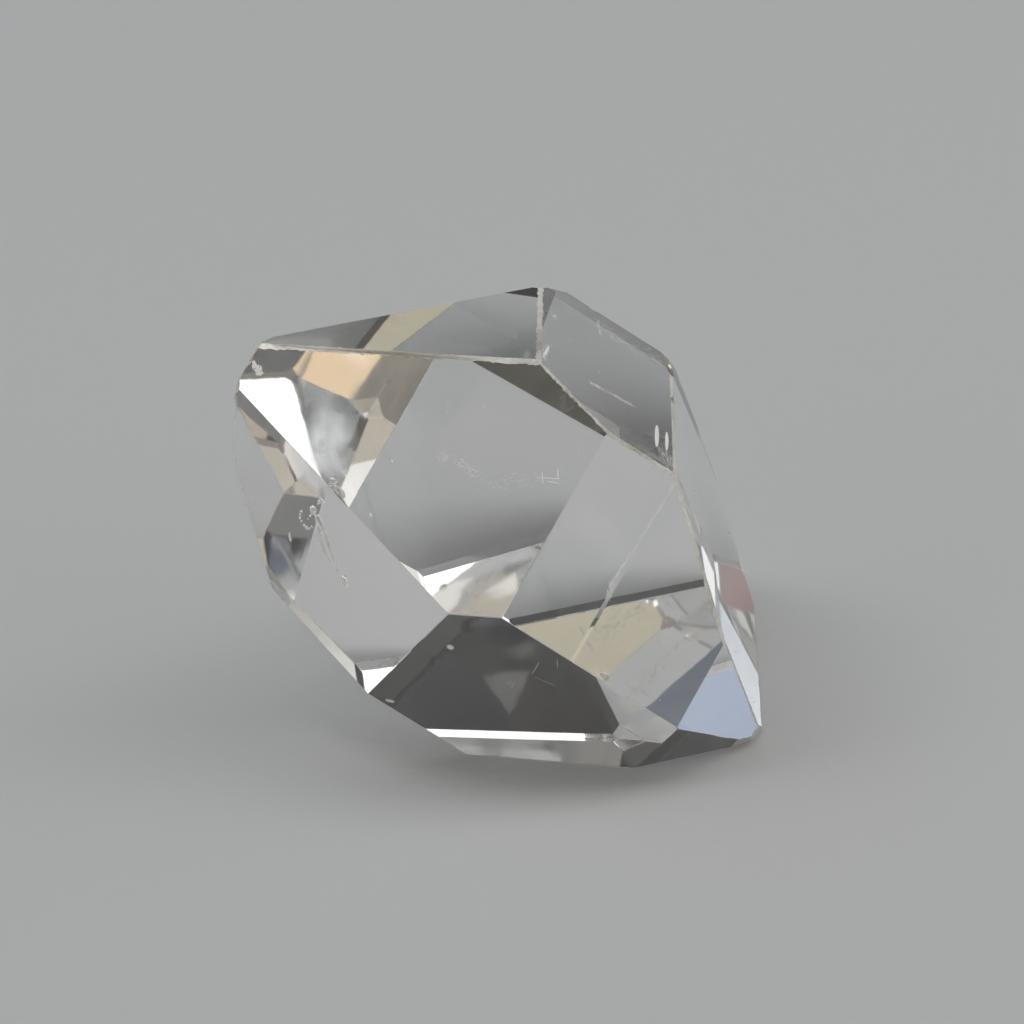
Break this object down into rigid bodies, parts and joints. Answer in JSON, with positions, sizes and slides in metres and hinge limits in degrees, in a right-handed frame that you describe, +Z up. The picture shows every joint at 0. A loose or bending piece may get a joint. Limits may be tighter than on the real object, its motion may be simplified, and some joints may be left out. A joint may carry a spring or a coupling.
{
  "type": "herkimer diamond",
  "caption": "Water-clear natural quartz crystal: a stubby hexagonal prism with a pyramid point at each end, lying on one broad pyramid face.",
  "frame": {"origin": "on the ground under the middle of the crystal: centre of the bounding box's bottom", "axes": "+Z up off the pyramid face that the crystal rests on; the long (c) axis lies over X, with the raised point towards -X; +Y is the deeper way across, and the pictured side faces -Y"},
  "size_m": [0.0102, 0.0104, 0.0076],
  "materials": {
    "clear_quartz": "natural crystal faces, glassy and water-clear, with a few small bubbles and veils inside, fine wear along the edges and small shell-shaped chips"
  },
  "bodies": {
    "root": {"quartz_crystal": "clear_quartz"}
  },
  "joints": []
}
